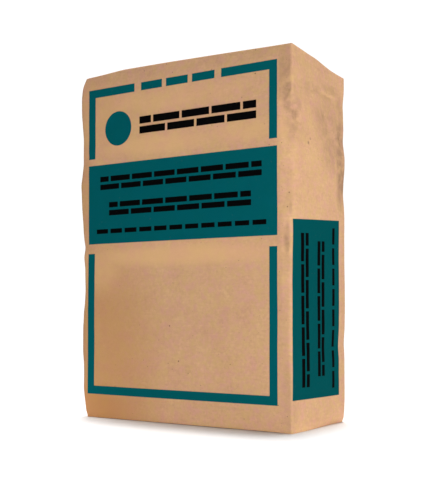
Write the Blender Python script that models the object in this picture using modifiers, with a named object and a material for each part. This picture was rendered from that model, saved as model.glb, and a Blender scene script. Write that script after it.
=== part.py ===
"""A filled paper sack of cement with pasted block ends, standing on one end.

Metres, +Z up. The origin is on the floor under the middle of the sack. The broad printed
face looks towards -Y and the narrow sides towards -X and +X.
"""

import math

import bmesh
import bpy
import numpy
from mathutils import Vector

# The block that the cement fills
WIDTH = 0.318
DEPTH = 0.141
HEIGHT = 0.452

# How far from each fold the paper starts to turn
SIDE_FOLD = 0.008
BASE_FOLD = 0.0035
TOP_FOLD = 0.004

# Swelling of the walls at half height. A lower fullness keeps them full nearer the ends.
FACE_SWELL = 0.0035
BACK_SWELL = 0.0045
SIDE_SWELL = 0.0060
SWELL_FULLNESS = 0.5

# The top end: its front fold is crowned and its back fold has settled
TOP_CROWN = 0.0040
BACK_CROWN_SHARE = 0.5
TOP_SETTLE = 0.0145
TOP_SETTLE_REACH = 0.20
SLACK_CORNER = 0.0045
SLACK_CORNER_REACH = 0.024

# Swells and dips along the left edges: height, push outwards, half length
EDGE_WAVES = (
    (0.405, 0.0040, 0.034),
    (0.300, 0.0045, 0.036),
    (0.190, -0.0035, 0.045),
    (0.105, 0.0020, 0.030),
)
BACK_WAVE_SHARE = 0.5

# Heights of the cage's rings between the two end folds
RING_HEIGHTS = (0.050, 0.100, 0.145, 0.190, 0.245, 0.300, 0.352, 0.405, 0.432)
SUBDIVISIONS = 2

# The end cover sheets and the valve
SHEET_THICKNESS = 0.0006
PASTE_GAP = 0.00032
COVER_LENGTH = 0.276
COVER_WIDTH = 0.114
VALVE_WIDTH = 0.086
VALVE_LENGTH = 0.070
VALVE_SHOWS = 0.012
VALVE_CLEARANCE = 0.001
VALVE_FADE = 0.020

KRAFT = (0.61, 0.35, 0.19, 1.0)
PALE_KRAFT = (0.66, 0.43, 0.26, 1.0)

BASE_LEVEL = SHEET_THICKNESS + PASTE_GAP

# A face of the sack counts as part of an end where its normal is this near to upright
FLAT_NORMAL = 0.9


def clear_scene():
    for thing in list(bpy.data.objects):
        bpy.data.objects.remove(thing)


def new_collection(name):
    collection = bpy.data.collections.new(name)
    bpy.context.scene.collection.children.link(collection)
    return collection


def paper(name, colour):
    """Uncoated kraft paper."""
    material = bpy.data.materials.new(name)
    material.use_nodes = True
    shader = material.node_tree.nodes["Principled BSDF"]
    shader.inputs["Base Color"].default_value = colour
    shader.inputs["Roughness"].default_value = 0.85
    shader.inputs["Metallic"].default_value = 0.0
    return material


def add_object(name, mesh, material, collection):
    thing = bpy.data.objects.new(name, mesh)
    mesh.materials.clear()
    mesh.materials.append(material)
    collection.objects.link(thing)
    return thing


def hump(distance, half_length):
    """1 at no distance, falling smoothly to almost nothing at twice the half length."""
    return math.exp(-((distance / half_length) ** 2))


def smooth_step(share):
    share = min(max(share, 0.0), 1.0)
    return share * share * (3.0 - 2.0 * share)


def edge_wave(height):
    return sum(push * hump(height - at, half) for at, push, half in EDGE_WAVES)


def filled(point):
    """Where the cement pushes a point of the plain block."""
    x, y, z = point
    across = 2.0 * x / WIDTH
    through = 2.0 * y / DEPTH
    back_share = (through + 1.0) / 2.0
    upright = math.sin(math.pi * min(max(z / HEIGHT, 0.0), 1.0)) ** SWELL_FULLNESS
    face = FACE_SWELL if y < 0 else BACK_SWELL
    new_y = y + through * face * (1.0 - min(across * across, 1.0)) * upright
    new_x = x + across * SIDE_SWELL * (1.0 - min(through * through, 1.0)) * upright

    # The left edges have buckled a little, most at the front
    if across < 0:
        depth_weight = 1.0 - (1.0 - BACK_WAVE_SHARE) * back_share
        new_x -= edge_wave(z) * smooth_step(-across) * depth_weight

    # The top end is crowned along the front and has settled towards the back
    near_top = smooth_step(1.0 - (HEIGHT - z) / TOP_SETTLE_REACH)
    crown_weight = 1.0 - (1.0 - BACK_CROWN_SHARE) * back_share
    crown = TOP_CROWN * (1.0 - across * across) * crown_weight
    new_z = z + (crown - TOP_SETTLE * back_share) * near_top

    # The top left corner is slack, so the edge runs in to it
    if across < 0:
        pulled = smooth_step(1.0 - (HEIGHT - z) / SLACK_CORNER_REACH)
        new_x += SLACK_CORNER * pulled * smooth_step(-across) ** 2
    return Vector((new_x, new_y, new_z))


def cut_across(shape, axis, places):
    """Cuts a ring round the whole shape at each place along an axis."""
    for place in places:
        bmesh.ops.bisect_plane(
            shape,
            geom=shape.verts[:] + shape.edges[:] + shape.faces[:],
            plane_co=axis * place,
            plane_no=axis,
        )


def make_sack(collection, material):
    """The kraft tube with its folded ends, filled, as one closed body."""
    half_width = WIDTH / 2.0
    half_depth = DEPTH / 2.0
    shape = bmesh.new()
    bmesh.ops.create_cube(shape, size=1.0)
    body_height = HEIGHT - BASE_LEVEL
    bmesh.ops.scale(shape, vec=(WIDTH, DEPTH, body_height), verts=shape.verts)
    middle = BASE_LEVEL + body_height / 2.0
    bmesh.ops.translate(shape, vec=(0.0, 0.0, middle), verts=shape.verts)

    fold_x = half_width - SIDE_FOLD
    fold_y = half_depth - SIDE_FOLD
    cut_across(shape, Vector((1, 0, 0)), (-fold_x, -fold_x / 2.0, 0.0, fold_x / 2.0, fold_x))
    cut_across(shape, Vector((0, 1, 0)), (-fold_y, 0.0, fold_y))
    end_folds = (BASE_LEVEL + BASE_FOLD, HEIGHT - TOP_FOLD)
    cut_across(shape, Vector((0, 0, 1)), end_folds + RING_HEIGHTS)
    for vertex in shape.verts:
        vertex.co = filled(vertex.co)

    mesh = bpy.data.meshes.new("sack_body")
    shape.to_mesh(mesh)
    shape.free()
    sack = add_object("sack_body", mesh, material, collection)
    rounding = sack.modifiers.new("rounding", "SUBSURF")
    rounding.levels = SUBDIVISIONS
    rounding.render_levels = SUBDIVISIONS
    mesh.shade_smooth()
    return sack


def end_surface(sack, upwards):
    """The flat part of one end of the finished sack, as a bmesh of its own."""
    graph = bpy.context.evaluated_depsgraph_get()
    mesh = bpy.data.meshes.new_from_object(sack.evaluated_get(graph))
    shape = bmesh.new()
    shape.from_mesh(mesh)
    bpy.data.meshes.remove(mesh)
    shape.normal_update()
    others = [face for face in shape.faces if face.normal.z * upwards < FLAT_NORMAL]
    bmesh.ops.delete(shape, geom=others, context="FACES")
    return shape


def trim(shape, axis, low, high):
    """Keeps only what lies between two places along an axis."""
    for place, side in ((low, -1.0), (high, 1.0)):
        bmesh.ops.bisect_plane(
            shape,
            geom=shape.verts[:] + shape.edges[:] + shape.faces[:],
            plane_co=axis * place,
            plane_no=axis * side,
            clear_outer=True,
        )


def pasted_sheet(name, sack, upwards, x_range, y_range, steps, collection, material):
    """A thin sheet that follows an end of the sack.

    steps lists places along x, each with the sheet's clearance from the sack there.
    """
    shape = end_surface(sack, upwards)
    trim(shape, Vector((1, 0, 0)), *x_range)
    trim(shape, Vector((0, 1, 0)), *y_range)
    places = [place for place, clearance in steps]
    cut_across(shape, Vector((1, 0, 0)), places)
    for vertex in shape.verts:
        clearance = float(numpy.interp(vertex.co.x, places, [step[1] for step in steps]))
        vertex.co.z += upwards * clearance
    mesh = bpy.data.meshes.new(name)
    shape.to_mesh(mesh)
    shape.free()
    sheet = add_object(name, mesh, material, collection)
    ply = sheet.modifiers.new("ply", "SOLIDIFY")
    ply.thickness = SHEET_THICKNESS
    ply.offset = 1.0
    return sheet


def main():
    clear_scene()
    collection = new_collection("cement_bag")
    kraft = paper("kraft_paper", KRAFT)
    pale_kraft = paper("pale_kraft_paper", PALE_KRAFT)
    sack = make_sack(collection, kraft)
    bpy.context.view_layer.update()

    cover_x = (-COVER_LENGTH / 2.0, COVER_LENGTH / 2.0)
    cover_y = (-COVER_WIDTH / 2.0, COVER_WIDTH / 2.0)
    valve_mouth = cover_x[0] - VALVE_SHOWS
    valve_inner_end = valve_mouth + VALVE_LENGTH
    valve_y = (-VALVE_WIDTH / 2.0, VALVE_WIDTH / 2.0)

    resting = ((0.0, PASTE_GAP),)
    over_valve = (
        (valve_inner_end + VALVE_CLEARANCE, 2.0 * PASTE_GAP + SHEET_THICKNESS),
        (valve_inner_end + VALVE_CLEARANCE + VALVE_FADE, PASTE_GAP),
    )
    valve_x = (valve_mouth, valve_inner_end)
    pasted_sheet("bottom_cover_sheet", sack, -1.0, cover_x, cover_y, resting, collection, kraft)
    pasted_sheet("valve_sleeve", sack, 1.0, valve_x, valve_y, resting, collection, pale_kraft)
    pasted_sheet("top_cover_sheet", sack, 1.0, cover_x, cover_y, over_valve, collection, kraft)


main()
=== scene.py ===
import math

import bmesh
import bpy
import numpy as np
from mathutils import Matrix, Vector, noise


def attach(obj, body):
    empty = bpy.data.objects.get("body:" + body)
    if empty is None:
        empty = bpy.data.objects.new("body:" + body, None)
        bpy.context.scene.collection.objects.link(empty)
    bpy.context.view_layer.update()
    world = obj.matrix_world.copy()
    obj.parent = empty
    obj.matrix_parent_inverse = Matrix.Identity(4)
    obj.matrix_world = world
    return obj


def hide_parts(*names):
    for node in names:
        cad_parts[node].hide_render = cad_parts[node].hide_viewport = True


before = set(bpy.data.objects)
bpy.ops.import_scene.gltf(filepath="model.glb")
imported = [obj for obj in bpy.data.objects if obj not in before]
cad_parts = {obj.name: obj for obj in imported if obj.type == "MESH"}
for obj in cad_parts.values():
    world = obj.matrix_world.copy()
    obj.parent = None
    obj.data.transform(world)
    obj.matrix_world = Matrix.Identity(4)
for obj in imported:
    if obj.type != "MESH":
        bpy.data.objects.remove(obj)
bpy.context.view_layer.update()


# The camera
# It stands a little above the sack's lower third, out to the right of the printed face,
# and is tilted up slightly. A small shift keeps the upright edges upright.
CAMERA_PLACE = (0.7138, -1.0407, 0.1468)
CAMERA_AZIMUTH = math.radians(34.18)
CAMERA_PITCH = math.radians(1.5)
CAMERA_LENS = 70.9
CAMERA_SENSOR = 36.0
CAMERA_SHIFT = 0.0719

camera_data = bpy.data.cameras.new("camera")
camera_data.lens = CAMERA_LENS
camera_data.sensor_width = CAMERA_SENSOR
camera_data.shift_y = CAMERA_SHIFT
camera = bpy.data.objects.new("camera", camera_data)
camera.location = CAMERA_PLACE
camera.rotation_euler = (math.pi / 2.0 + CAMERA_PITCH, 0.0, CAMERA_AZIMUTH)
bpy.context.scene.collection.objects.link(camera)
bpy.context.scene.camera = camera


# The sack
# A tube of brown kraft paper, folded and pasted shut at both ends and filled tight with cement.
# It is uncoated and matt, and printed on the flat paper in teal and black before it was folded.

# The block that the cement fills, and the level of the bottom fold
SACK_WIDTH = 0.318
SACK_DEPTH = 0.141
SACK_HEIGHT = 0.452
SACK_BASE = 0.0005
HALF_WIDTH = SACK_WIDTH / 2.0
HALF_DEPTH = SACK_DEPTH / 2.0

# The sack's mesh: squares along each side, and how much they bunch up towards the folds
SQUARES_WIDE = 130
SQUARES_DEEP = 60
SQUARES_HIGH = 180
BUNCHING = 0.55

# Points nearer than this to a face of the block lie on it, and steeper edges than this are folds
SAME_PLACE = 1e-6
FOLD_ANGLE = math.radians(45.0)

# Radii of the folds. The two right ones change with height: height, radius.
SOFT_FOLD = 0.0045
RIGHT_FRONT_FOLD = (
    (0.000, 0.0020), (0.050, 0.0026), (0.100, 0.0060), (0.140, 0.0070), (0.165, 0.0110), (0.260, 0.0130),
    (0.300, 0.0160), (0.335, 0.0200), (0.382, 0.0200), (0.398, 0.0060), (0.425, 0.0018), (0.452, 0.0016),
)
RIGHT_BACK_FOLD = (
    (0.000, 0.0045), (0.270, 0.0050), (0.310, 0.0090), (0.375, 0.0100), (0.405, 0.0060), (0.430, 0.0030),
    (0.452, 0.0020),
)
CRISP_FOLD = 0.0018
CRISP_FOLD_BELOW_TOP = 0.030
TOP_FOLD_RADIUS = 0.0015
BOTTOM_FOLD_RADIUS = 0.0004

# Swelling of the walls at half height
FACE_SWELL = 0.0020
BACK_SWELL = 0.0040
SIDE_SWELL = 0.0015
SWELL_FULLNESS = 0.5

# The top: the front fold's crown along x, and how far the end has settled towards the back
TOP_CROWN = (
    (-0.159, 0.0000), (-0.130, 0.0012), (-0.090, 0.0038), (-0.020, 0.0034), (0.060, 0.0022), (0.130, 0.0008),
    (0.159, 0.0004),
)
TOP_SETTLE = (
    (-0.0705, 0.0000), (-0.058, 0.0014), (-0.045, 0.0028), (-0.030, 0.0044), (-0.011, 0.0054),
    (0.009, 0.0082), (0.031, 0.0112), (0.053, 0.0130), (0.0705, 0.0140),
)
BACK_CROWN_SHARE = 0.5
TOP_REACH = 0.20
TOP_BLUR = 0.006

# How far the bottom end hangs down past its cover sheet, how far from the middle that starts and
# how far it takes to hang fully
END_SAG = 0.0004
END_SAG_FROM = 0.142
END_SAG_REACH = 0.010

# How the left front edge is buckled: height, and how far it stands out there
LEFT_FRONT_EDGE = (
    (0.000, -0.0108), (0.005, -0.0057), (0.020, -0.0032), (0.037, -0.0005), (0.069, 0.0000), (0.085, 0.0016),
    (0.117, 0.0016), (0.139, 0.0000), (0.152, -0.0018), (0.168, -0.0030), (0.198, -0.0022), (0.212, -0.0002),
    (0.225, -0.0026), (0.234, -0.0002), (0.246, 0.0010), (0.262, 0.0023), (0.280, 0.0040), (0.296, 0.0044),
    (0.309, 0.0056), (0.322, 0.0032), (0.337, 0.0011), (0.369, 0.0011), (0.388, 0.0029), (0.402, 0.0042),
    (0.426, 0.0048), (0.437, 0.0028), (0.443, 0.0004), (0.452, -0.0058),
)

# The other upright edges, set out the same way
RIGHT_FRONT_EDGE = (
    (0.000, 0.0032), (0.060, 0.0030), (0.120, 0.0022), (0.200, 0.0014), (0.300, 0.0020), (0.385, 0.0026),
    (0.430, 0.0036), (0.452, 0.0036),
)
LEFT_BACK_EDGE = (
    (0.000, -0.0030), (0.015, 0.0000), (0.078, 0.0012), (0.104, -0.0010), (0.150, 0.0014), (0.218, 0.0010),
    (0.236, -0.0018), (0.252, 0.0008), (0.318, 0.0016), (0.372, 0.0004), (0.394, -0.0020), (0.412, 0.0010),
    (0.440, 0.0012), (0.452, -0.0010),
)
RIGHT_BACK_EDGE = (
    (0.000, -0.0036), (0.004, -0.0008), (0.014, 0.0004), (0.030, 0.0010), (0.080, 0.0010), (0.098, 0.0000),
    (0.120, 0.0012), (0.260, 0.0016), (0.288, 0.0002), (0.306, 0.0016), (0.325, 0.0036), (0.340, 0.0040),
    (0.362, 0.0018), (0.378, 0.0024), (0.404, 0.0008), (0.414, -0.0002), (0.430, 0.0004), (0.452, 0.0004),
)

# How far from its edge a buckle reaches along the broad face, how much its kinks are rounded, and
# how quickly the front edge's buckles give way to the back edge's across a narrow side
EDGE_REACH = 0.011
EDGE_BLUR = 0.0030
EDGE_CHANGE = 0.7

# Dents in the paper: place round the tube, height, half width, half height, depth
DENTS = (
    (0.1545, 0.4015, 0.0045, 0.007, 0.0018),
    (0.1710, 0.3715, 0.0070, 0.011, 0.0018),
    (0.1700, 0.3540, 0.0070, 0.011, 0.0010),
    (0.2860, 0.3640, 0.004, 0.007, 0.0018),
    (0.2860, 0.3200, 0.005, 0.018, 0.0008),
    (0.2330, 0.3890, 0.026, 0.014, 0.0016),
    (0.2620, 0.3440, 0.014, 0.020, 0.0012),
    (0.2480, 0.3780, 0.009, 0.012, 0.0012),
    (0.1530, 0.1300, 0.0035, 0.060, 0.0007),
    (0.1650, 0.2500, 0.008, 0.010, 0.0008),
    (0.3300, 0.3900, 0.014, 0.010, 0.0016),
    (0.5900, 0.3780, 0.016, 0.012, 0.0018),
    (0.5950, 0.2200, 0.012, 0.020, 0.0012),
    (-0.1900, 0.3760, 0.020, 0.012, 0.0016),
    (-0.2500, 0.2300, 0.016, 0.022, 0.0014),
    (-0.1800, 0.1500, 0.014, 0.022, 0.0010),
    (0.3200, 0.1000, 0.012, 0.020, 0.0010),
)

# Creases in the paper: start and end as place round the tube and height, half width, depth
CREASES = (
    ((0.1680, 0.4070), (0.2240, 0.4110), 0.0026, 0.0010),
    ((0.2060, 0.4120), (0.2760, 0.4170), 0.0030, 0.0011),
    ((0.1480, 0.3850), (0.1600, 0.4030), 0.0018, 0.0014),
    ((0.1650, 0.3900), (0.1790, 0.3580), 0.0020, 0.0016),
    ((0.2850, 0.3720), (0.2620, 0.3560), 0.0020, 0.0012),
    ((0.2380, 0.3950), (0.2560, 0.3640), 0.0020, 0.0010),
    ((0.2740, 0.3980), (0.2820, 0.3680), 0.0018, 0.0010),
    ((0.2600, 0.3300), (0.2780, 0.3080), 0.0020, 0.0008),
    ((0.1640, 0.0260), (0.1600, 0.0010), 0.0014, 0.0010),
    ((-0.1590, 0.2260), (-0.1380, 0.2290), 0.0018, 0.0009),
    ((-0.1590, 0.3420), (-0.1400, 0.3480), 0.0022, 0.0006),
    ((-0.1650, 0.4100), (-0.2900, 0.4050), 0.0036, 0.0014),
    ((0.3050, 0.3980), (0.3600, 0.4120), 0.0034, 0.0012),
    ((0.5500, 0.4110), (0.6120, 0.3920), 0.0036, 0.0014),
    ((0.6000, 0.2300), (0.5600, 0.2240), 0.0030, 0.0009),
    ((-0.2900, 0.2360), (-0.2500, 0.2240), 0.0030, 0.0010),
    ((-0.1700, 0.1560), (-0.2020, 0.1480), 0.0030, 0.0008),
    ((0.3080, 0.1060), (0.3420, 0.0960), 0.0030, 0.0008),
)

# The share of a crease's length over which each of its ends fades
CREASE_FADE = 0.25

# Slow unevenness and small puckers of the walls, and over what length they fade at the end folds
UNEVEN_LENGTH = 0.085
UNEVEN_DEPTH = 0.0007
PUCKER_LENGTH = 0.020
PUCKER_DEPTH = 0.00030
WALL_FADE = 0.012

# Where the two ends lie on the flat paper's map: the second coordinate of their front fold
TOP_END_FROM = 0.470
BOTTOM_END_FROM = -0.020


def smooth_step(share):
    share = np.clip(share, 0.0, 1.0)
    return share * share * (3.0 - 2.0 * share)


def along(points, at, blur):
    """A line through given points, with its kinks rounded a little, at each place."""
    places, heights = zip(*points)
    shifts = (-blur, -0.5 * blur, 0.0, 0.5 * blur, blur)
    return sum(np.interp(at + shift, places, heights) for shift in shifts) / len(shifts)


def top_change(x, y):
    """How far the top end stands above the plain block."""
    back_share = (y + HALF_DEPTH) / SACK_DEPTH
    crown = along(TOP_CROWN, x, TOP_BLUR) * (1.0 - (1.0 - BACK_CROWN_SHARE) * back_share)
    return crown - along(TOP_SETTLE, y, TOP_BLUR)


def crease_depth(u, v):
    """How deep the paper is dented and creased at places round the tube and up it."""
    depth = np.zeros_like(u)
    for at_u, at_v, half_u, half_v, deepest in DENTS:
        depth += deepest * np.exp(-(((u - at_u) / half_u) ** 2) - ((v - at_v) / half_v) ** 2)
    for (from_u, from_v), (to_u, to_v), half_width, deepest in CREASES:
        length = math.hypot(to_u - from_u, to_v - from_v)
        run_u = (to_u - from_u) / length
        run_v = (to_v - from_v) / length
        passed = (u - from_u) * run_u + (v - from_v) * run_v
        aside = np.abs((v - from_v) * run_u - (u - from_u) * run_v)
        fading = CREASE_FADE * length
        fade = smooth_step(passed / fading) * smooth_step((length - passed) / fading)
        depth += deepest * fade / (1.0 + (aside / half_width) ** 2)
    return depth


def slow_noise(points, length, seed):
    """Soft noise from -1 to 1 at each point, with bumps of the given length."""
    shift = Vector((seed * 7.3, seed * 3.1, seed * 5.7))
    return np.array([noise.noise(Vector(point) / length + shift) for point in points])


def fold_radius(x, y, z):
    """The upright folds are crisp near the top end. The right front one varies most."""
    crispness = smooth_step(1.0 - (SACK_HEIGHT - z) / CRISP_FOLD_BELOW_TOP)
    plain = SOFT_FOLD + (CRISP_FOLD - SOFT_FOLD) * crispness
    right_front = along(RIGHT_FRONT_FOLD, z, EDGE_BLUR)
    right_back = along(RIGHT_BACK_FOLD, z, EDGE_BLUR)
    return np.where(x > 0.0, np.where(y < 0.0, right_front, right_back), plain)


def sack_points(block):
    """Where each point of the plain block goes on the filled sack."""
    x, y, z = block.T
    radius = fold_radius(x, y, z)
    beyond_x = np.maximum(np.abs(x) - (HALF_WIDTH - radius), 0.0)
    beyond_y = np.maximum(np.abs(y) - (HALF_DEPTH - radius), 0.0)
    reach = np.hypot(beyond_x, beyond_y)
    largest = np.maximum(beyond_x, beyond_y)
    pull = np.divide(largest, reach, out=np.ones_like(reach), where=reach > 0.0)
    flat_x = np.sign(x) * (np.minimum(np.abs(x), HALF_WIDTH - radius) + beyond_x * pull)
    flat_y = np.sign(y) * (np.minimum(np.abs(y), HALF_DEPTH - radius) + beyond_y * pull)
    out_x = np.sign(x) * np.divide(beyond_x, reach, out=np.zeros_like(reach), where=reach > 0.0)
    out_y = np.sign(y) * np.divide(beyond_y, reach, out=np.zeros_like(reach), where=reach > 0.0)

    # The end folds: a quarter circle between the wall and the end
    inward = np.minimum(HALF_WIDTH - np.abs(x), HALF_DEPTH - np.abs(y))
    from_top = SACK_HEIGHT - z
    from_base = z - SACK_BASE
    end_radius = np.where(from_top < from_base, TOP_FOLD_RADIUS, BOTTOM_FOLD_RADIUS)
    from_end = np.minimum(from_top, from_base)
    side_leg = np.clip(end_radius - inward, 0.0, None)
    end_leg = np.clip(end_radius - from_end, 0.0, None)
    leg = np.hypot(side_leg, end_leg)
    in_fold = (side_leg > 0.0) & (end_leg > 0.0)
    shrink = np.divide(end_radius, leg, out=np.ones_like(leg), where=in_fold)
    tuck_in = np.where(in_fold, side_leg - side_leg * shrink, 0.0)
    tuck_down = np.where(in_fold, end_leg - end_leg * shrink, 0.0)
    flat_x -= out_x * tuck_in
    flat_y -= out_y * tuck_in
    flat_z = z + np.where(from_top < from_base, -tuck_down, tuck_down)

    # The walls swell, and the upright edges have buckled
    across = flat_x / HALF_WIDTH
    through = flat_y / HALF_DEPTH
    upright = np.sin(math.pi * np.clip(z / SACK_HEIGHT, 0.0, 1.0)) ** SWELL_FULLNESS
    face = np.where(y < 0.0, FACE_SWELL, BACK_SWELL)
    new_y = flat_y + through * face * np.clip(1.0 - across ** 2, 0.0, 1.0) * upright
    new_x = flat_x + across * SIDE_SWELL * np.clip(1.0 - through ** 2, 0.0, 1.0) * upright
    near_left = smooth_step((-flat_x - HALF_WIDTH + EDGE_REACH) / EDGE_REACH)
    near_right = smooth_step((flat_x - HALF_WIDTH + EDGE_REACH) / EDGE_REACH)
    front_edge = smooth_step(0.5 - EDGE_CHANGE * through)
    back_edge = smooth_step(0.5 + EDGE_CHANGE * through)
    new_x -= near_left * front_edge * along(LEFT_FRONT_EDGE, z, EDGE_BLUR)
    new_x -= near_left * back_edge * along(LEFT_BACK_EDGE, z, EDGE_BLUR)
    new_x += near_right * front_edge * along(RIGHT_FRONT_EDGE, z, EDGE_BLUR)
    new_x += near_right * back_edge * along(RIGHT_BACK_EDGE, z, EDGE_BLUR)

    # The top end: crowned in front, settled behind
    near_top = smooth_step(1.0 - (SACK_HEIGHT - z) / TOP_REACH)
    new_z = flat_z + top_change(flat_x, flat_y) * near_top

    # The bottom end hangs down to the floor past the short edges of its cover sheet
    on_bottom = from_base < SAME_PLACE
    new_z -= END_SAG * smooth_step((np.abs(x) - END_SAG_FROM) / END_SAG_REACH) * on_bottom

    # The distance round the tube, in metres. It is 0 in the middle of the front and grows to the
    # right side and the back, and the left side has the same distances with a minus.
    front = np.abs(y + HALF_DEPTH) < SAME_PLACE
    back = np.abs(y - HALF_DEPTH) < SAME_PLACE
    right = np.abs(x - HALF_WIDTH) < SAME_PLACE
    left = np.abs(x + HALF_WIDTH) < SAME_PLACE
    around_side = np.sign(x) * (HALF_WIDTH + HALF_DEPTH + y)
    around = np.where(front, x, np.where(back, SACK_WIDTH + SACK_DEPTH - x, around_side))
    wall = front | back | right | left

    # Dents, creases and unevenness push the walls in or out. The unevenness fades at the end folds.
    points = np.stack([new_x, new_y, new_z], axis=1)
    wall_fade = smooth_step(from_end / WALL_FADE) * wall
    in_depth = np.zeros_like(x)
    in_depth[wall] = crease_depth(around[wall], z[wall])
    in_depth += UNEVEN_DEPTH * slow_noise(points, UNEVEN_LENGTH, 1) * wall_fade
    in_depth += PUCKER_DEPTH * slow_noise(points, PUCKER_LENGTH, 2) * wall_fade
    face_x = np.where(reach > 0.0, out_x, np.where(right, 1.0, np.where(front | back, 0.0, -1.0)))
    face_y = np.where(reach > 0.0, out_y, np.where(front, -1.0, np.where(back, 1.0, 0.0)))
    points[:, 0] -= face_x * in_depth * wall
    points[:, 1] -= face_y * in_depth * wall
    return points


def make_sack():
    """The filled sack as one closed skin, with the flat paper's coordinates as its UV map."""
    shape = bmesh.new()
    bmesh.ops.create_cube(shape, size=2.0)
    for axis, squares in enumerate((SQUARES_WIDE, SQUARES_DEEP, SQUARES_HIGH)):
        edges = [
            edge for edge in shape.edges
            if abs(edge.verts[0].co[axis] - edge.verts[1].co[axis]) > SAME_PLACE
        ]
        bmesh.ops.subdivide_edges(shape, edges=edges, cuts=squares - 1, use_grid_fill=True)

    # The fold that the sack stands on is sharp. So far the block reaches from -1 to 1 each way.
    for edge in shape.edges:
        at_bottom = all(vertex.co.z < -1.0 + SAME_PLACE for vertex in edge.verts)
        edge.smooth = not (at_bottom and edge.calc_face_angle() > FOLD_ANGLE)
    mesh = bpy.data.meshes.new("paper_sack")
    shape.to_mesh(mesh)
    shape.free()

    unit = np.empty(len(mesh.vertices) * 3)
    mesh.vertices.foreach_get("co", unit)
    unit = np.clip(unit.reshape(-1, 3), -1.0, 1.0)
    unit += BUNCHING * np.sin(math.pi * unit) / math.pi
    middle = (SACK_HEIGHT + SACK_BASE) / 2.0
    half_height = (SACK_HEIGHT - SACK_BASE) / 2.0
    block = unit * (HALF_WIDTH, HALF_DEPTH, half_height) + (0.0, 0.0, middle)
    points = sack_points(block)
    mesh.vertices.foreach_set("co", points.ravel())

    # The print lies nearly level on the filled sack, so the walls' second coordinate is the height
    corner_vertex = np.empty(len(mesh.loops), dtype=np.int32)
    mesh.loops.foreach_get("vertex_index", corner_vertex)
    face_of_corner = np.repeat(np.arange(len(mesh.polygons)), 4)
    corners = block[corner_vertex]
    heights = points[corner_vertex, 2]
    centres = corners.reshape(-1, 4, 3).mean(axis=1)[face_of_corner]
    from_middle = np.abs(centres - (0.0, 0.0, middle))
    facing = np.argmin((HALF_WIDTH, HALF_DEPTH, half_height) - from_middle, axis=1)
    on_front = (facing == 1) & (centres[:, 1] < 0.0)
    on_back = (facing == 1) & (centres[:, 1] > 0.0)
    on_side = facing == 0
    on_top = (facing == 2) & (centres[:, 2] > middle)
    x = corners[:, 0]
    from_front = corners[:, 1] + HALF_DEPTH
    around_side = np.sign(centres[:, 0]) * (HALF_WIDTH + from_front)
    u = np.select([on_front, on_back, on_side], [x, SACK_WIDTH + SACK_DEPTH - x, around_side], x)
    top_v = TOP_END_FROM + from_front
    bottom_v = BOTTOM_END_FROM - from_front
    v = np.select([facing != 2, on_top], [heights, top_v], bottom_v)
    uv = mesh.uv_layers.new(name="flat_paper")
    uv.uv.foreach_set("vector", np.stack([u, v], axis=1).ravel())
    mesh.shade_smooth()
    sack = bpy.data.objects.new("paper_sack", mesh)
    bpy.context.scene.collection.objects.link(sack)
    return sack


# Shader helpers. Every group and material below is wired with them.
def new_group(name, inputs, outputs):
    """An empty node group with named inputs and outputs, as (name, socket type) pairs."""
    group = bpy.data.node_groups.new(name, "ShaderNodeTree")
    for label, kind in inputs:
        group.interface.new_socket(label, in_out="INPUT", socket_type=kind)
    for label, kind in outputs:
        group.interface.new_socket(label, in_out="OUTPUT", socket_type=kind)
    entry = group.nodes.new("NodeGroupInput")
    leave = group.nodes.new("NodeGroupOutput")
    return group, entry.outputs, leave.inputs


def plug(tree, source, socket):
    """Links a socket, or sets a plain value."""
    if isinstance(source, bpy.types.NodeSocket):
        tree.links.new(source, socket)
    else:
        socket.default_value = source


def maths(tree, operation, first, second=0.0, third=0.0):
    node = tree.nodes.new("ShaderNodeMath")
    node.operation = operation
    for source, socket in zip((first, second, third), node.inputs):
        plug(tree, source, socket)
    return node.outputs[0]


def vector_maths(tree, operation, first, second, result="Vector"):
    node = tree.nodes.new("ShaderNodeVectorMath")
    node.operation = operation
    plug(tree, first, node.inputs[0])
    plug(tree, second, node.inputs[1])
    return node.outputs[result]


def blend(tree, share, first, second, kind="MIX"):
    """Mixes two colours. A mix node has its colour sockets at 6 and 7, and gives its colour at 2."""
    node = tree.nodes.new("ShaderNodeMix")
    node.data_type = "RGBA"
    node.blend_type = kind
    plug(tree, share, node.inputs[0])
    plug(tree, first, node.inputs[6])
    plug(tree, second, node.inputs[7])
    return node.outputs[2]


def ramp(tree, value, low, high, to_low=0.0, to_high=1.0):
    """Maps low..high smoothly to to_low..to_high."""
    node = tree.nodes.new("ShaderNodeMapRange")
    node.interpolation_type = "SMOOTHSTEP"
    for source, socket in zip((value, low, high, to_low, to_high), node.inputs):
        plug(tree, source, socket)
    return node.outputs[0]


def noise_at(tree, place, scale, detail, roughness=0.5, stretch=(1.0, 1.0, 1.0), shift=0.0):
    """A noise value from 0 to 1. scale is in bumps per metre."""
    mapping = tree.nodes.new("ShaderNodeMapping")
    mapping.inputs["Scale"].default_value = stretch
    mapping.inputs["Location"].default_value = (shift, shift, shift)
    plug(tree, place, mapping.inputs["Vector"])
    node = tree.nodes.new("ShaderNodeTexNoise")
    node.inputs["Scale"].default_value = scale
    node.inputs["Detail"].default_value = detail
    node.inputs["Roughness"].default_value = roughness
    tree.links.new(mapping.outputs[0], node.inputs["Vector"])
    return node.outputs["Fac"]


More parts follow.
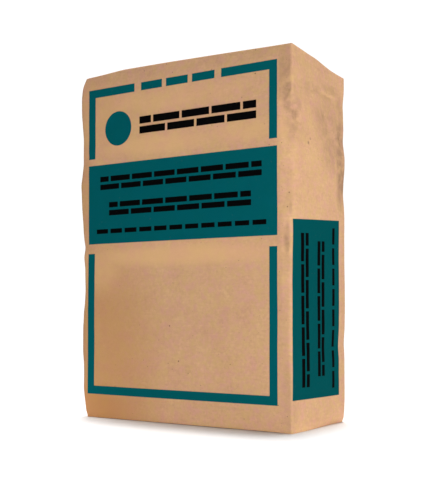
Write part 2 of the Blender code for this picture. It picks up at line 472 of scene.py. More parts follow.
def fleck_mask(tree, place, cells, radius, softness, chosen, shift):
    """Dots scattered one to a cell. chosen is the share of cells that have one.

    radius is in cells, and a dot has 0.5 to 1.2 of it.
    """
    mapping = tree.nodes.new("ShaderNodeMapping")
    mapping.inputs["Location"].default_value = (shift, shift, shift)
    plug(tree, place, mapping.inputs["Vector"])
    node = tree.nodes.new("ShaderNodeTexVoronoi")
    node.inputs["Scale"].default_value = cells
    tree.links.new(mapping.outputs[0], node.inputs["Vector"])
    parts = tree.nodes.new("ShaderNodeSeparateColor")
    tree.links.new(node.outputs["Color"], parts.inputs[0])
    size = maths(tree, "MULTIPLY_ADD", parts.outputs["Green"], radius * 0.7, radius * 0.5)
    gap = maths(tree, "SUBTRACT", node.outputs["Distance"], size)
    dot = ramp(tree, gap, -softness, softness, 1.0, 0.0)
    picked = maths(tree, "LESS_THAN", parts.outputs["Red"], chosen)
    return maths(tree, "MULTIPLY", dot, picked)


# The paper's own tones
KRAFT_PALE = (0.664, 0.408, 0.222, 1.0)
KRAFT_DEEP = (0.484, 0.280, 0.140, 1.0)
ROSY = (0.600, 0.322, 0.232, 1.0)
SALLOW = (0.576, 0.366, 0.156, 1.0)
BARK = (0.165, 0.088, 0.045, 1.0)


def kraft_group():
    """Brown kraft paper: cloudy fibre tone, fine fibres along the tube, dark bark flecks."""
    group, given, made = new_group(
        "kraft_paper",
        (
            ("Place", "NodeSocketVector"),
            ("Pale", "NodeSocketColor"),
            ("Deep", "NodeSocketColor"),
            ("Fleck", "NodeSocketColor"),
        ),
        (("Colour", "NodeSocketColor"), ("Height", "NodeSocketFloat")),
    )
    place = given["Place"]
    clouds = noise_at(group, place, 24.0, 3.0, 0.55)
    mottle = noise_at(group, place, 270.0, 3.0, 0.6, shift=3.0)
    streaks = noise_at(group, place, 70.0, 3.0, 0.6, stretch=(1.0, 1.0, 6.0), shift=5.0)
    long_fibres = noise_at(group, place, 1000.0, 2.0, 0.6, stretch=(1.0, 1.0, 0.16), shift=7.0)
    cross_fibres = noise_at(group, place, 900.0, 2.0, 0.6, stretch=(0.22, 0.22, 1.0), shift=9.0)
    fibres = maths(group, "MAXIMUM", long_fibres, cross_fibres)
    tone = maths(group, "MULTIPLY", ramp(group, clouds, 0.25, 0.75), 0.24)
    tone = maths(group, "MULTIPLY_ADD", ramp(group, mottle, 0.30, 0.70), 0.36, tone)
    tone = maths(group, "MULTIPLY_ADD", ramp(group, streaks, 0.30, 0.70), 0.20, tone)
    tone = maths(group, "MULTIPLY_ADD", ramp(group, fibres, 0.45, 0.80), 0.20, tone)
    paper = blend(group, tone, given["Pale"], given["Deep"])
    rosy = noise_at(group, place, 120.0, 3.0, 0.65, shift=13.0)
    paper = blend(group, ramp(group, rosy, 0.44, 0.64, 0.0, 0.58), paper, ROSY)
    sallow = noise_at(group, place, 150.0, 3.0, 0.65, shift=17.0)
    paper = blend(group, ramp(group, sallow, 0.44, 0.64, 0.0, 0.58), paper, SALLOW)
    rare = fleck_mask(group, place, 36.0, 0.047, 0.010, 0.75, 4.0)
    large = fleck_mask(group, place, 92.0, 0.066, 0.024, 0.70, 1.0)
    small = fleck_mask(group, place, 190.0, 0.085, 0.04, 0.55, 2.0)
    bark = 0.0
    for flecks, darkness in ((small, 0.50), (large, 0.92), (rare, 0.85)):
        bark = maths(group, "MAXIMUM", maths(group, "MULTIPLY", flecks, darkness), bark)
    plug(group, blend(group, bark, paper, given["Fleck"]), made["Colour"])
    height = maths(group, "MULTIPLY_ADD", fibres, 0.6, maths(group, "MULTIPLY", mottle, 0.6))
    plug(group, height, made["Height"])
    return group


# The print on the flat paper, in metres round the tube and up it. The corners of each
# rectangle are its lowest and highest place.
FRAME_OUTER = ((-0.1495, 0.0311), (0.1427, 0.4351))
FRAME_INNER = ((-0.1379, 0.0421), (0.1319, 0.4242))
TOP_GAP = ((-0.0709, 0.400), (0.0645, 0.460))
BAND_GAP = ((-0.160, 0.2164), (0.160, 0.3424))
BAND = ((-0.1495, 0.2291), (0.1427, 0.3337))
SIDE_PANEL = ((0.1630, 0.0368), (0.2793, 0.2510))
DISC_PLACE = (-0.0985, 0.3795)
DISC_RADIUS = 0.0225

# The print isn't quite square to the filled sack. The front's leans, and its left part is drawn
# in towards the middle, from the first height on and fully from the second.
FRONT_LEAN = 0.014
FRONT_TUCK = 0.0087
FRONT_TUCK_FROM = 0.120
FRONT_TUCK_TO = 0.240

# The side's spreads and leans towards the back, and its near edge is askew
SIDE_SPREAD = 0.30
SIDE_LEAN = 0.017
SIDE_ASKEW = 0.028

# How soft the print's outline is, and how far it wanders
PRINT_BLUR = 0.00018
PRINT_RAGGED = 0.0005

# Courses of plain bricks: lowest and highest corner, number of courses, brick length, joint
TOP_BRICKS = ((-0.0600, 0.4244), (0.0548, 0.4348), 1, 0.0340, 0.0064)
DARK_BRICKS = ((-0.0625, 0.3686), (0.1144, 0.3908), 2, 0.0418, 0.0034)
BAND_BRICKS = (
    ((-0.1290, 0.3004), (0.1220, 0.3180), 2, 0.0330, 0.0034),
    ((-0.1134, 0.2660), (0.1073, 0.2836), 2, 0.0340, 0.0034),
    ((-0.1350, 0.2424), (0.1280, 0.2484), 1, 0.0200, 0.0044),
)
SIDE_BRICKS = (
    ((0.1820, 0.0510), (0.2000, 0.2346), 2, 0.0340, 0.0034),
    ((0.2210, 0.0624), (0.2390, 0.2250), 2, 0.0299, 0.0034),
    ((0.2598, 0.0464), (0.2664, 0.2414), 1, 0.0206, 0.0044),
)


def strip(tree, value, low, high):
    """Distance outside a strip from low to high, negative inside."""
    aside = maths(tree, "ABSOLUTE", maths(tree, "SUBTRACT", value, (low + high) / 2.0))
    return maths(tree, "SUBTRACT", aside, (high - low) / 2.0)


def rectangle(tree, u, v, corners):
    (low_u, low_v), (high_u, high_v) = corners
    return maths(tree, "MAXIMUM", strip(tree, u, low_u, high_u), strip(tree, v, low_v, high_v))


def without(tree, shape, taken):
    return maths(tree, "MAXIMUM", shape, maths(tree, "MULTIPLY", taken, -1.0))


def either(tree, *shapes):
    joined = shapes[0]
    for shape in shapes[1:]:
        joined = maths(tree, "MINIMUM", joined, shape)
    return joined


def brick_courses(tree, u, v, row, upright=False):
    """Plain bricks laid in courses, each course half a brick along from the next."""
    low, high, courses, length, joint = row
    run, cross = (v, u) if upright else (u, v)
    low_run, low_cross = reversed(low) if upright else low
    high_cross = high[0] if upright else high[1]
    course = (high_cross - low_cross + joint) / courses
    pitch = length + joint
    rise = maths(tree, "SUBTRACT", cross, low_cross)
    odd = maths(tree, "FLOORED_MODULO", maths(tree, "FLOOR", maths(tree, "DIVIDE", rise, course)), 2.0)
    shifted = maths(tree, "MULTIPLY_ADD", odd, pitch / 2.0, maths(tree, "SUBTRACT", run, low_run))
    brick = maths(
        tree, "MAXIMUM",
        strip(tree, maths(tree, "WRAP", shifted, pitch, 0.0), 0.0, length),
        strip(tree, maths(tree, "WRAP", rise, course, 0.0), 0.0, course - joint),
    )
    return maths(tree, "MAXIMUM", brick, rectangle(tree, u, v, (low, high)))


def print_group():
    """Where the two inks lie on the flat paper."""
    group, given, made = new_group(
        "print_layout",
        (("Flat paper", "NodeSocketVector"), ("Ragged", "NodeSocketFloat")),
        (("Teal", "NodeSocketFloat"), ("Black", "NodeSocketFloat")),
    )
    parts = group.nodes.new("ShaderNodeSeparateXYZ")
    plug(group, given["Flat paper"], parts.inputs[0])
    around, height = parts.outputs["X"], parts.outputs["Y"]

    # The front's print leans a little more the higher it is, and its left part is drawn in above
    front_u = maths(group, "MINIMUM", around, HALF_WIDTH)
    lean = maths(group, "MULTIPLY", maths(group, "MULTIPLY", front_u, height), FRONT_LEAN)
    v = maths(group, "SUBTRACT", height, lean)
    tuck = ramp(group, height, FRONT_TUCK_FROM, FRONT_TUCK_TO, 0.0, FRONT_TUCK)
    u = maths(group, "MULTIPLY_ADD", maths(group, "MINIMUM", around, 0.0), tuck, around)

    border = without(group, rectangle(group, u, v, FRAME_OUTER), rectangle(group, u, v, FRAME_INNER))
    border = without(group, border, rectangle(group, u, v, TOP_GAP))
    border = without(group, border, rectangle(group, u, v, BAND_GAP))
    top_row = brick_courses(group, u, v, TOP_BRICKS)
    off_u = maths(group, "SUBTRACT", u, DISC_PLACE[0])
    off_v = maths(group, "SUBTRACT", v, DISC_PLACE[1])
    squares = maths(group, "MULTIPLY_ADD", off_u, off_u, maths(group, "MULTIPLY", off_v, off_v))
    disc = maths(group, "SUBTRACT", maths(group, "SQRT", squares), DISC_RADIUS)

    # The side panel's print leans and spreads slightly towards the back
    panel_u = (SIDE_PANEL[0][0] + SIDE_PANEL[1][0]) / 2.0
    panel_v = (SIDE_PANEL[0][1] + SIDE_PANEL[1][1]) / 2.0
    along_panel = maths(group, "SUBTRACT", around, panel_u)
    spread = maths(group, "MULTIPLY_ADD", along_panel, SIDE_SPREAD, 1.0)
    level = maths(group, "MULTIPLY_ADD", along_panel, SIDE_LEAN, panel_v)
    from_middle = maths(group, "DIVIDE", maths(group, "SUBTRACT", height, level), spread)
    side_v = maths(group, "ADD", from_middle, panel_v)

    # Its near edge runs a little askew to the fold
    near = ramp(group, around, SIDE_PANEL[0][0], SIDE_PANEL[1][0], SIDE_ASKEW, 0.0)
    askew = maths(group, "MULTIPLY", maths(group, "SUBTRACT", panel_v, side_v), near)
    panel = rectangle(group, maths(group, "ADD", around, askew), side_v, SIDE_PANEL)
    teal = either(group, border, rectangle(group, u, v, BAND), panel, disc, top_row)

    dark = [brick_courses(group, u, v, row) for row in (DARK_BRICKS, *BAND_BRICKS)]
    dark += [brick_courses(group, u, side_v, row, upright=True) for row in SIDE_BRICKS]
    black = either(group, *dark)
    for shape, label in ((teal, "Teal"), (black, "Black")):
        edge = maths(group, "ADD", shape, given["Ragged"])
        plug(group, ramp(group, edge, -PRINT_BLUR, PRINT_BLUR, 1.0, 0.0), made[label])
    return group


# The paper's laps: the pasted lengthwise seam on the back, and the folded flaps of the ends. A painted
# shadow line runs along the foot of each lap's step.
SEAM_PLACE = 0.497
LAP_HEIGHT = 0.0006
LAP_EDGE = 0.0005
LAP_SHADOW_WIDTH = 0.0012
LAP_SHADOW_DARKNESS = 0.50
LAP_WANDER = 0.0012


def lap_group():
    """Steps where one layer of the paper ends on another, as a height and a painted shadow line at the foot
    of each step.
    """
    group, given, made = new_group(
        "paper_laps",
        (("Flat paper", "NodeSocketVector"), ("Wander", "NodeSocketFloat")),
        (("Height", "NodeSocketFloat"), ("Line", "NodeSocketFloat")),
    )
    parts = group.nodes.new("ShaderNodeSeparateXYZ")
    plug(group, given["Flat paper"], parts.inputs[0])
    u, v = parts.outputs["X"], parts.outputs["Y"]
    seam = maths(group, "SUBTRACT", maths(group, "ADD", u, given["Wander"]), SEAM_PLACE)

    # On an end, the flaps cover all but a triangle at each narrow side
    above = maths(group, "SUBTRACT", v, TOP_END_FROM)
    below = maths(group, "SUBTRACT", BOTTOM_END_FROM, v)
    on_end = maths(group, "MAXIMUM", above, below)
    from_long_side = maths(group, "MINIMUM", on_end, maths(group, "SUBTRACT", SACK_DEPTH, on_end))
    from_short_side = maths(group, "SUBTRACT", HALF_WIDTH, maths(group, "ABSOLUTE", u))
    unequal = maths(group, "SUBTRACT", from_short_side, from_long_side)
    diagonal = maths(group, "MULTIPLY_ADD", unequal, math.sqrt(0.5), given["Wander"])
    is_end = maths(group, "GREATER_THAN", on_end, -LAP_EDGE)
    on_wall = maths(group, "SUBTRACT", 1.0, is_end)
    step = maths(group, "MULTIPLY_ADD", diagonal, is_end, maths(group, "MULTIPLY", seam, on_wall))
    plug(group, ramp(group, step, -LAP_EDGE, LAP_EDGE), made["Height"])
    near = maths(group, "ABSOLUTE", maths(group, "ADD", step, LAP_EDGE))
    plug(group, ramp(group, near, 0.0, LAP_SHADOW_WIDTH, 1.0, 0.0), made["Line"])
    return group


def patch_group():
    """A soft oval patch on the flat paper."""
    group, given, made = new_group(
        "soft_patch",
        (
            ("Flat paper", "NodeSocketVector"),
            ("Middle", "NodeSocketVector"),
            ("Half size", "NodeSocketVector"),
            ("Strength", "NodeSocketFloat"),
        ),
        (("Mask", "NodeSocketFloat"),),
    )
    off = vector_maths(group, "SUBTRACT", given["Flat paper"], given["Middle"])
    share = vector_maths(group, "DIVIDE", off, given["Half size"])
    span = vector_maths(group, "LENGTH", share, (0.0, 0.0, 0.0), "Value")
    plug(group, ramp(group, span, 0.3, 1.5, given["Strength"], 0.0), made["Mask"])
    return group


KRAFT = kraft_group()
SOFT_PATCH = patch_group()


# How the paper and the ink shine, and how deep the fibres' relief is
PAPER_SHEEN = 0.10
SACK_ROUGHNESS = 0.84
SHEET_ROUGHNESS = 0.82
INK_SHEEN = 0.004
INK_ROUGHNESS = 0.66
FIBRE_DEPTH = 0.00012
FIBRE_STRENGTH = 0.6


def paper_material(name, pale, deep):
    """A material with the kraft group in it. Gives the tree, the shader, the paper and its place."""
    material = bpy.data.materials.new(name)
    material.use_nodes = True
    tree = material.node_tree
    shader = tree.nodes["Principled BSDF"]
    shader.inputs["Roughness"].default_value = SHEET_ROUGHNESS
    shader.inputs["Specular IOR Level"].default_value = PAPER_SHEEN
    coordinates = tree.nodes.new("ShaderNodeTexCoord")
    paper = tree.nodes.new("ShaderNodeGroup")
    paper.node_tree = KRAFT
    place = coordinates.outputs["Object"]
    plug(tree, place, paper.inputs["Place"])
    paper.inputs["Pale"].default_value = pale
    paper.inputs["Deep"].default_value = deep
    paper.inputs["Fleck"].default_value = BARK
    return material, tree, shader, paper, place


def bumped(tree, height, distance, strength, under=None):
    """A normal from a height, on top of another normal if there is one."""
    node = tree.nodes.new("ShaderNodeBump")
    node.inputs["Strength"].default_value = strength
    node.inputs["Distance"].default_value = distance
    plug(tree, height, node.inputs["Height"])
    if under is not None:
        plug(tree, under, node.inputs["Normal"])
    return node.outputs[0]


# The inks, and what tints the paper in places: dirt mixed with painted shade, a deeper painted shade and a
# paler tone. BLUSH is multiplied with it.
TEAL_INK = (0.0006, 0.0910, 0.1080, 1.0)
THIN_TEAL_INK = (0.0006, 0.0915, 0.1040, 1.0)
SIDE_TEAL_INK = (0.0004, 0.0680, 0.0740, 1.0)
BLACK_INK = (0.0020, 0.0020, 0.0022, 1.0)
# Dark brown for dirt, and for painted shade in folds, creases and dents and under the lap edges
GRIME_AND_SHADE = (0.310, 0.182, 0.106, 1.0)
# Painted shade, deeper and warmer, for the left part of the front
PAINTED_SHADE_TONE = (0.470, 0.238, 0.086, 1.0)
PALE_TONE = (0.690, 0.414, 0.196, 1.0)
BLUSH = (1.0, 0.952, 1.060, 1.0)

# The teal turns darker round the right front fold, from this far before it to this far past it
SIDE_INK_REACH = 0.004

# Handling marks and painted shade: a few dark specks, and painted shade along the right front fold and the
# left front edge, in the creases and dents, under the top edge and where the side curves away at its far
# edge. Each: place round the tube, height, half width, half height, strength
MARKS_AND_SHADE_PATCHES = (
    (0.2480, 0.3740, 0.034, 0.030, 0.44),
    (0.2560, 0.3380, 0.026, 0.030, 0.42),
    (0.2850, 0.3930, 0.010, 0.022, 0.36),
    (0.2850, 0.3600, 0.015, 0.022, 0.84),
    (0.2800, 0.3320, 0.013, 0.020, 0.80),
    (0.2870, 0.3050, 0.014, 0.022, 0.95),
    (0.2840, 0.2780, 0.008, 0.016, 0.40),
    (0.2050, 0.4100, 0.034, 0.007, 0.44),
    (0.2580, 0.4150, 0.028, 0.007, 0.42),
    (0.1978, 0.3410, 0.0020, 0.0020, 0.95),
    (0.2027, 0.3464, 0.0018, 0.0018, 0.85),
    (0.2200, 0.4280, 0.060, 0.024, 0.16),
    (0.1900, 0.4010, 0.022, 0.018, 0.20),
    (0.1780, 0.3540, 0.022, 0.016, 0.16),
    (0.1525, 0.4270, 0.0085, 0.034, 0.42),
    (0.1690, 0.4400, 0.010, 0.014, 0.18),
    (0.1560, 0.4015, 0.007, 0.008, 0.84),
    (0.1530, 0.3920, 0.006, 0.008, 0.66),
    (0.1590, 0.3810, 0.009, 0.008, 0.74),
    (0.1630, 0.3720, 0.006, 0.008, 0.62),
    (0.1705, 0.3720, 0.007, 0.009, 0.90),
    (0.1690, 0.3580, 0.007, 0.010, 0.56),
    (0.1690, 0.3820, 0.013, 0.011, 0.60),
    (0.1610, 0.3950, 0.009, 0.012, 0.62),
    (0.1635, 0.3885, 0.007, 0.008, 0.50),
    (0.1600, 0.0180, 0.012, 0.026, 0.26),
    (0.1640, 0.3600, 0.011, 0.022, 0.44),
    (0.2910, 0.1500, 0.009, 0.130, 0.18),
    (0.2860, 0.2900, 0.012, 0.018, 0.60),
    (0.1590, 0.2690, 0.008, 0.020, 0.28),
    (0.1615, 0.2620, 0.004, 0.009, 0.50),
    (0.1600, 0.2950, 0.008, 0.014, 0.24),
    (0.1560, 0.2240, 0.005, 0.018, 0.78),
    (0.1555, 0.1970, 0.007, 0.016, 0.32),
    (0.1540, 0.1580, 0.007, 0.022, 0.14),
    (0.1480, 0.1250, 0.006, 0.045, 0.16),
    (0.1540, 0.0420, 0.006, 0.036, 0.22),
    (0.1750, 0.2700, 0.008, 0.010, 0.16),
    (0.0850, 0.4480, 0.080, 0.010, 0.26),
    (-0.0700, 0.4480, 0.090, 0.012, 0.13),
    (-0.1560, 0.0900, 0.005, 0.045, 0.30),
    (0.0100, 0.1400, 0.110, 0.060, 0.12),
    (0.5700, 0.3900, 0.045, 0.030, 0.26),
    (-0.2200, 0.3800, 0.060, 0.030, 0.26),
)

# Painted shade, deeper and warmer, over the left part of the front and darkest at its left foot, and paler,
# yellower patches, set out the same way
PAINTED_SHADE_PATCHES = (
    (-0.1350, 0.0900, 0.095, 0.140, 0.68),
    (-0.1560, 0.3000, 0.016, 0.120, 0.40),
    (-0.1350, 0.3950, 0.060, 0.055, 0.34),
    (-0.1560, 0.0120, 0.110, 0.055, 0.98),
)
PALE_PATCHES = (
    (-0.1150, 0.3850, 0.070, 0.050, 0.42),
    (-0.0400, 0.3530, 0.100, 0.014, 0.80),
    (-0.0300, 0.4080, 0.120, 0.016, 0.60),
    (0.0950, 0.3560, 0.060, 0.014, 0.60),
    (0.0000, 0.2110, 0.150, 0.014, 0.80),
    (-0.1250, 0.1950, 0.030, 0.030, 0.50),
)


def patches(tree, flat_paper, rows):
    """The strongest of some soft patches at each place."""
    strongest = 0.0
    for at_u, at_v, half_u, half_v, strength in rows:
        patch = tree.nodes.new("ShaderNodeGroup")
        patch.node_tree = SOFT_PATCH
        plug(tree, flat_paper, patch.inputs["Flat paper"])
        patch.inputs["Middle"].default_value = (at_u, at_v, 0.0)
        patch.inputs["Half size"].default_value = (half_u, half_v, 1.0)
        patch.inputs["Strength"].default_value = strength
        strongest = maths(tree, "MAXIMUM", patch.outputs["Mask"], strongest)
    return strongest


def sack_material():
    material, tree, shader, paper, place = paper_material("printed_kraft_paper", KRAFT_PALE, KRAFT_DEEP)
    flat = tree.nodes.new("ShaderNodeUVMap")
    flat.uv_map = "flat_paper"
    flat_paper = flat.outputs[0]

    # Painted shade on the left, paler patches, and handling marks mixed with painted shade
    colour = blend(tree, patches(tree, flat_paper, PAINTED_SHADE_PATCHES), paper.outputs["Colour"], PAINTED_SHADE_TONE)
    colour = blend(tree, patches(tree, flat_paper, PALE_PATCHES), colour, PALE_TONE)
    blush = noise_at(tree, place, 48.0, 2.0, 0.5, shift=23.0)
    colour = blend(tree, ramp(tree, blush, 0.40, 0.64), colour, BLUSH, "MULTIPLY")
    smudge = noise_at(tree, place, 110.0, 4.0, 0.65, shift=21.0)
    smudge = ramp(tree, smudge, 0.36, 0.60, 0.50, 1.0)
    marks_and_shade = maths(tree, "MULTIPLY", patches(tree, flat_paper, MARKS_AND_SHADE_PATCHES), smudge)
    colour = blend(tree, marks_and_shade, colour, GRIME_AND_SHADE)

    # Laps
    wander = maths(tree, "SUBTRACT", noise_at(tree, place, 40.0, 2.0), 0.5)
    wander = maths(tree, "MULTIPLY", wander, LAP_WANDER)
    laps = tree.nodes.new("ShaderNodeGroup")
    laps.node_tree = lap_group()
    plug(tree, flat_paper, laps.inputs["Flat paper"])
    plug(tree, wander, laps.inputs["Wander"])
    # Painted shadow line at the foot of each lap's step
    line = maths(tree, "MULTIPLY", laps.outputs["Line"], LAP_SHADOW_DARKNESS)
    colour = blend(tree, line, colour, GRIME_AND_SHADE)

    # Ink
    inks = tree.nodes.new("ShaderNodeGroup")
    inks.node_tree = print_group()
    plug(tree, flat_paper, inks.inputs["Flat paper"])
    grain = noise_at(tree, place, 900.0, 2.0, 0.6, shift=31.0)
    ragged = maths(tree, "MULTIPLY", maths(tree, "SUBTRACT", grain, 0.5), PRINT_RAGGED)
    plug(tree, ragged, inks.inputs["Ragged"])
    cover = ramp(tree, grain, 0.20, 0.40, 0.985, 1.0)
    worn = noise_at(tree, place, 300.0, 3.0, 0.6, shift=37.0)
    cover = maths(tree, "MULTIPLY", cover, ramp(tree, worn, 0.20, 0.36, 0.96, 1.0))
    thin = ramp(tree, noise_at(tree, place, 60.0, 3.0), 0.3, 0.7)
    teal = blend(tree, thin, TEAL_INK, THIN_TEAL_INK)
    parts = tree.nodes.new("ShaderNodeSeparateXYZ")
    plug(tree, flat_paper, parts.inputs[0])
    around = parts.outputs["X"]
    on_side = ramp(tree, around, HALF_WIDTH - SIDE_INK_REACH, HALF_WIDTH + SIDE_INK_REACH)
    teal = blend(tree, on_side, teal, SIDE_TEAL_INK)
    colour = blend(tree, maths(tree, "MULTIPLY", inks.outputs["Teal"], cover), colour, teal)
    colour = blend(tree, maths(tree, "MULTIPLY", inks.outputs["Black"], cover), colour, BLACK_INK)
    plug(tree, colour, shader.inputs["Base Color"])
    inked = maths(tree, "MAXIMUM", inks.outputs["Teal"], inks.outputs["Black"])
    roughness = ramp(tree, inked, 0.0, 1.0, SACK_ROUGHNESS, INK_ROUGHNESS)
    plug(tree, roughness, shader.inputs["Roughness"])
    sheen = ramp(tree, inked, 0.0, 1.0, PAPER_SHEEN, INK_SHEEN)
    plug(tree, sheen, shader.inputs["Specular IOR Level"])

    # Relief: crinkles, laps, fibres
    crinkle = noise_at(tree, place, 55.0, 4.0, 0.55, shift=41.0)
    ridges = maths(tree, "ABSOLUTE", maths(tree, "SUBTRACT", crinkle, 0.5))
    normal = bumped(tree, ridges, 0.0016, 0.35)
    normal = bumped(tree, laps.outputs["Height"], LAP_HEIGHT, 1.0, normal)
    normal = bumped(tree, paper.outputs["Height"], FIBRE_DEPTH, FIBRE_STRENGTH, normal)
    plug(tree, normal, shader.inputs["Normal"])
    return material


sack = make_sack()
sack.data.materials.append(sack_material())
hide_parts("sack_body")
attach(sack, "root")


# The cover sheets
# A strip of the same kraft paper, pasted flat over the folded flaps of each end to close it.
# Each is cut square and lies smooth. The paste has puckered the top one faintly.
COVER_LENGTH = 0.276
COVER_WIDTH = 0.114
COVER_THICKNESS = 0.0003
SHEET_CLEARANCE = 0.00018
FLOOR_GAP = 0.00005
VALVE_STEP = 0.0006
PASTE_PUCKER = 0.00008
PASTE_PUCKER_LENGTH = 0.018
SHEET_SQUARE = 0.0024


def end_sheet(name, low, high, height_at, thickness, material):
    """A thin sheet from corner to corner, whose underside lies at height_at(x, y)."""
    shape = bmesh.new()
    squares_x = round((high[0] - low[0]) / SHEET_SQUARE)
    squares_y = round((high[1] - low[1]) / SHEET_SQUARE)
    bmesh.ops.create_grid(shape, x_segments=squares_x, y_segments=squares_y, size=1.0)
    for vertex in shape.verts:
        x = (low[0] + high[0]) / 2.0 + vertex.co.x * (high[0] - low[0]) / 2.0
        y = (low[1] + high[1]) / 2.0 + vertex.co.y * (high[1] - low[1]) / 2.0
        vertex.co = (x, y, height_at(x, y))
    mesh = bpy.data.meshes.new(name)
    shape.to_mesh(mesh)
    shape.free()
    mesh.shade_smooth()
    sheet = bpy.data.objects.new(name, mesh)
    bpy.context.scene.collection.objects.link(sheet)
    ply = sheet.modifiers.new("ply", "SOLIDIFY")
    ply.thickness = thickness
    ply.offset = 1.0
    mesh.materials.append(material)
    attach(sheet, "root")
    return sheet


def cover_material(name):
    material, tree, shader, paper, place = paper_material(name, KRAFT_PALE, KRAFT_DEEP)
    smudge = noise_at(tree, place, 30.0, 3.0, 0.6, shift=53.0)
    dusty = ramp(tree, smudge, 0.52, 0.72, 0.0, 0.28)
    plug(tree, blend(tree, dusty, paper.outputs["Colour"], GRIME_AND_SHADE), shader.inputs["Base Color"])
    puckers = noise_at(tree, place, 70.0, 3.0, 0.5, shift=57.0)
    normal = bumped(tree, puckers, 0.0009, 0.5)
    normal = bumped(tree, paper.outputs["Height"], FIBRE_DEPTH, FIBRE_STRENGTH, normal)
    plug(tree, normal, shader.inputs["Normal"])
    return material


# The valve sleeve's place under the top sheet, and how far past it the sheet takes to lie down
VALVE_SHOWS = 0.012
VALVE_MOUTH = -COVER_LENGTH / 2.0 - VALVE_SHOWS
VALVE_LENGTH = 0.070
VALVE_WIDTH = 0.086
VALVE_FADE = 0.020


def top_level(x, y):
    return SACK_HEIGHT + float(top_change(np.float64(x), np.float64(y)))


def pucker(x, y):
    return PASTE_PUCKER * noise.noise(Vector((x, y, 0.3)) / PASTE_PUCKER_LENGTH)


def above_floor(x, y):
    return FLOOR_GAP


def over_valve(x, y):
    past = (x - VALVE_MOUTH - VALVE_LENGTH) / VALVE_FADE
    beside = (abs(y) - VALVE_WIDTH / 2.0) / VALVE_FADE
    lift = VALVE_STEP * (1.0 - float(smooth_step(max(past, beside))))
    return top_level(x, y) + SHEET_CLEARANCE + PASTE_PUCKER + lift + pucker(x, y)


cover_low = (-COVER_LENGTH / 2.0, -COVER_WIDTH / 2.0)
cover_high = (COVER_LENGTH / 2.0, COVER_WIDTH / 2.0)
top_kraft = cover_material("top_cover_kraft")
top_cover = end_sheet("top_cover", cover_low, cover_high, over_valve, COVER_THICKNESS, top_kraft)
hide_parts("top_cover_sheet")

bottom_kraft = cover_material("bottom_cover_kraft")
bottom_cover = end_sheet(
    "bottom_cover", cover_low, cover_high, above_floor, COVER_THICKNESS, bottom_kraft
)
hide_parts("bottom_cover_sheet")


# The valve sleeve
# A flat tube of paler paper let into one corner of the top end, under the cover sheet. The sack was
# filled through it, and the cement has pressed it shut. Its mouth stands out past the cover sheet.
VALVE_PLY = 0.0003
VALVE_PALE = (0.700, 0.455, 0.275, 1.0)
VALVE_DEEP = (0.585, 0.350, 0.195, 1.0)


def valve_material():
    material, tree, shader, paper, place = paper_material("valve_kraft", VALVE_PALE, VALVE_DEEP)
    plug(tree, paper.outputs["Colour"], shader.inputs["Base Color"])
    normal = bumped(tree, paper.outputs["Height"], FIBRE_DEPTH, FIBRE_STRENGTH)
    plug(tree, normal, shader.inputs["Normal"])
    return material


def valve_level(x, y):
    return top_level(x, y) + SHEET_CLEARANCE


valve = end_sheet(
    "valve_sleeve_paper",
    (VALVE_MOUTH, -VALVE_WIDTH / 2.0),
    (VALVE_MOUTH + VALVE_LENGTH, VALVE_WIDTH / 2.0),
    valve_level,
    VALVE_PLY,
    valve_material(),
)
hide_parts("valve_sleeve")


# The studio
# A plain white floor and backdrop. Two soft lights high above, leaning a little behind, draw the
# shadow in under the front. Softboxes low round the sack light only the sack. Two lamps light only
# the floor, and lighten the shadow beside the sack and at its left front corner.
FLOOR_SIZE = 40.0
FLOOR_WHITE = (0.93, 0.93, 0.93, 1.0)
FLOOR_ROUGHNESS = 0.9
FLOOR_SHEEN = 0.1
OVERHEAD_SPREAD = math.radians(10.3)
WORLD_LIGHT = 0.20
BACKDROP_WHITE = 1.05

# The lights above: name, how far each leans along x and y, strength
OVERHEADS = (
    ("overhead behind", -0.050, 0.130, 1.75),
    ("overhead", 0.000, 0.066, 1.40),
)

# The softboxes: name, place, aim, width, height, power
SOFTBOXES = (
    ("key", (1.155, -0.73, 0.25), (0.0, 0.0, 0.22), 0.50, 0.50, 8.4),
    ("side", (1.40, 0.0, 0.26), (0.0, 0.0, 0.22), 0.60, 0.40, 1.86),
    ("foot", (0.09, -0.42, 0.01), (0.09, 0.0, 0.01), 0.50, 0.04, 0.20),
    ("skirt", (0.0, -0.095, 0.003), (0.0, -0.07, 0.006), 0.45, 0.006, 0.014),
    ("side skirt", (0.172, 0.0, 0.0014), (0.160, 0.0, 0.0020), 0.17, 0.002, 0.0028),
    ("back", (-0.9, 1.1, 0.50), (0.0, 0.0, 0.22), 0.80, 0.80, 9.0),
)

# The floor's own lamps, set out the same way
FLOOR_LAMPS = (
    ("floor right", (0.70, 0.55, 0.35), (0.17, 0.0, 0.0), 0.25, 0.25, 1.3),
    ("floor left", (-0.24, -0.13, 0.08), (-0.13, -0.09, 0.0), 0.05, 0.05, 0.16),
)


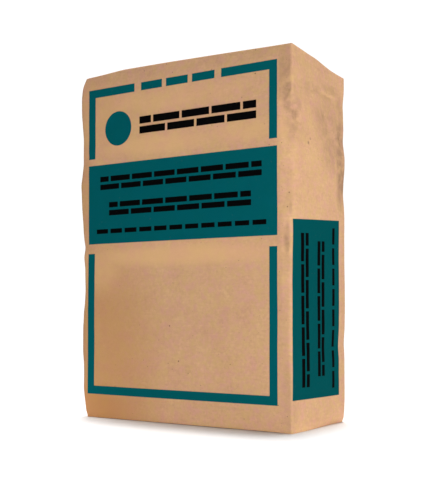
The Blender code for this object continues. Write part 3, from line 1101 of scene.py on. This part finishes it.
def make_lamps(rows, lit_things, collection_name):
    """Area lights that light only the given things."""
    lit = bpy.data.collections.new(collection_name)
    for thing in lit_things:
        lit.objects.link(thing)
    for name, place, aim, width, height, power in rows:
        light = bpy.data.lights.new(name, "AREA")
        light.shape = "RECTANGLE"
        light.size = width
        light.size_y = height
        light.energy = power
        lamp = bpy.data.objects.new(name, light)
        lamp.location = place
        lamp.rotation_euler = (Vector(aim) - Vector(place)).to_track_quat("-Z", "Y").to_euler()
        lamp.light_linking.receiver_collection = lit
        bpy.context.scene.collection.objects.link(lamp)


def make_floor():
    shape = bmesh.new()
    bmesh.ops.create_grid(shape, x_segments=1, y_segments=1, size=FLOOR_SIZE / 2.0)
    mesh = bpy.data.meshes.new("studio_floor")
    shape.to_mesh(mesh)
    shape.free()
    material = bpy.data.materials.new("white_floor")
    material.use_nodes = True
    shader = material.node_tree.nodes["Principled BSDF"]
    shader.inputs["Base Color"].default_value = FLOOR_WHITE
    shader.inputs["Roughness"].default_value = FLOOR_ROUGHNESS
    shader.inputs["Specular IOR Level"].default_value = FLOOR_SHEEN
    mesh.materials.append(material)
    floor = bpy.data.objects.new("studio_floor", mesh)
    bpy.context.scene.collection.objects.link(floor)
    return floor


def light_world():
    """White all round. The backdrop shows pure white, but gives only about a fifth of that light."""
    world = bpy.data.worlds.new("studio")
    world.use_nodes = True
    tree = world.node_tree
    background = tree.nodes["Background"]
    background.inputs["Color"].default_value = (1.0, 1.0, 1.0, 1.0)
    path = tree.nodes.new("ShaderNodeLightPath")
    seen = path.outputs["Is Camera Ray"]
    strength = ramp(tree, seen, 0.0, 1.0, WORLD_LIGHT, BACKDROP_WHITE)
    plug(tree, strength, background.inputs["Strength"])
    bpy.context.scene.world = world


def make_overheads():
    for name, lean_x, lean_y, strength in OVERHEADS:
        light = bpy.data.lights.new(name, "SUN")
        light.energy = strength
        light.angle = OVERHEAD_SPREAD
        lamp = bpy.data.objects.new(name, light)
        lamp.rotation_euler = Vector((lean_x, lean_y, 1.0)).to_track_quat("Z", "Y").to_euler()
        bpy.context.scene.collection.objects.link(lamp)


floor = make_floor()
light_world()
make_overheads()
make_lamps(SOFTBOXES, (sack, top_cover, bottom_cover, valve), "lit_by_softboxes")
make_lamps(FLOOR_LAMPS, (floor,), "lit_by_floor_lamps")
bpy.context.scene.view_settings.view_transform = "Standard"
